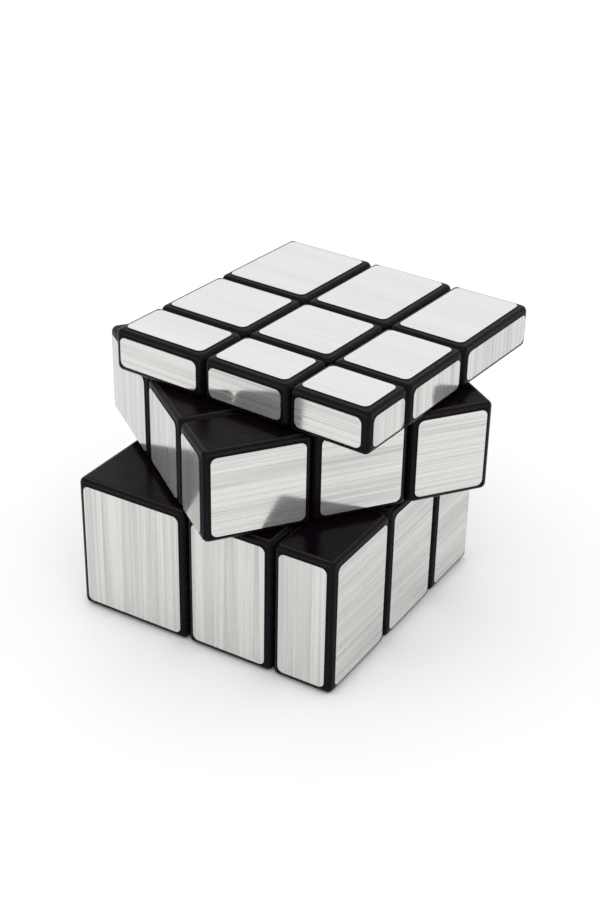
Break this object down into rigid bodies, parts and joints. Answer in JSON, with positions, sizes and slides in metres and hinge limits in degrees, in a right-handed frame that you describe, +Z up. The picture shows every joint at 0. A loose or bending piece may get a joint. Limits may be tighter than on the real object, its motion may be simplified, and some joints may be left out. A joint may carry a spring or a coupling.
{
  "type": "twisty puzzle cube",
  "caption": "Twisty puzzle cube of black blocks with brushed mirror foils and slices of unequal thickness, its layers stacked out of line, each turning about the upright axis.",
  "frame": {"origin": "centre of the vertical turning axis on the underside, where the bottom face rests", "axes": "+Z up along the turning axis; +X to the right and +Y to the back of the bottom layer, whose faces are square to X and Y"},
  "size_m": [0.0784, 0.0784, 0.057],
  "materials": {
    "shell_plastic": "glossy moulded black plastic with rounded edges",
    "foot_plastic": "satin moulded black plastic",
    "core_plastic": "plain off-white moulded plastic",
    "steel": "bright zinc-plated steel",
    "mirror_foil": "silver foil with a fine straight brushed grain and a blurred mirror reflection"
  },
  "bodies": {
    "bottom_layer": {"bottom_centre_base": "shell_plastic", "bottom_centre_cap": "shell_plastic", "bottom_front_edge_shell": "shell_plastic", "bottom_front_edge_foot": "foot_plastic", "bottom_back_edge_shell": "shell_plastic", "bottom_back_edge_foot": "foot_plastic", "bottom_left_edge_shell": "shell_plastic", "bottom_left_edge_foot": "foot_plastic", "bottom_right_edge_shell": "shell_plastic", "bottom_right_edge_foot": "foot_plastic", "bottom_front_left_corner_shell": "shell_plastic", "bottom_front_left_corner_foot": "foot_plastic", "bottom_front_right_corner_shell": "shell_plastic", "bottom_front_right_corner_foot": "foot_plastic", "bottom_back_left_corner_shell": "shell_plastic", "bottom_back_left_corner_foot": "foot_plastic", "bottom_back_right_corner_shell": "shell_plastic", "bottom_back_right_corner_foot": "foot_plastic", "bottom_layer_foils": "mirror_foil", "bottom_face_foils": "mirror_foil"},
    "middle_layer": {"core": "core_plastic", "centre_screws": "steel", "centre_springs": "steel", "centre_washers": "steel", "front_centre_base": "shell_plastic", "front_centre_cap": "shell_plastic", "back_centre_base": "shell_plastic", "back_centre_cap": "shell_plastic", "left_centre_base": "shell_plastic", "left_centre_cap": "shell_plastic", "right_centre_base": "shell_plastic", "right_centre_cap": "shell_plastic", "middle_front_left_edge_shell": "shell_plastic", "middle_front_left_edge_foot": "foot_plastic", "middle_front_right_edge_shell": "shell_plastic", "middle_front_right_edge_foot": "foot_plastic", "middle_back_left_edge_shell": "shell_plastic", "middle_back_left_edge_foot": "foot_plastic", "middle_back_right_edge_shell": "shell_plastic", "middle_back_right_edge_foot": "foot_plastic", "middle_layer_foils": "mirror_foil"},
    "top_layer": {"top_centre_base": "shell_plastic", "top_centre_cap": "shell_plastic", "top_front_edge_shell": "shell_plastic", "top_front_edge_foot": "foot_plastic", "top_back_edge_shell": "shell_plastic", "top_back_edge_foot": "foot_plastic", "top_left_edge_shell": "shell_plastic", "top_left_edge_foot": "foot_plastic", "top_right_edge_shell": "shell_plastic", "top_right_edge_foot": "foot_plastic", "top_front_left_corner_shell": "shell_plastic", "top_front_left_corner_foot": "foot_plastic", "top_front_right_corner_shell": "shell_plastic", "top_front_right_corner_foot": "foot_plastic", "top_back_left_corner_shell": "shell_plastic", "top_back_left_corner_foot": "foot_plastic", "top_back_right_corner_shell": "shell_plastic", "top_back_right_corner_foot": "foot_plastic", "top_layer_foils": "mirror_foil"}
  },
  "joints": [
    {"name": "middle_turn", "type": "hinge", "parent": "bottom_layer", "child": "middle_layer", "pos_m": [0, 0, 0.0385], "axis": [0, 0, 1], "continuous": true},
    {"name": "top_turn", "type": "hinge", "parent": "middle_layer", "child": "top_layer", "pos_m": [0, 0, 0.0385], "axis": [0, 0, 1], "continuous": true}
  ]
}
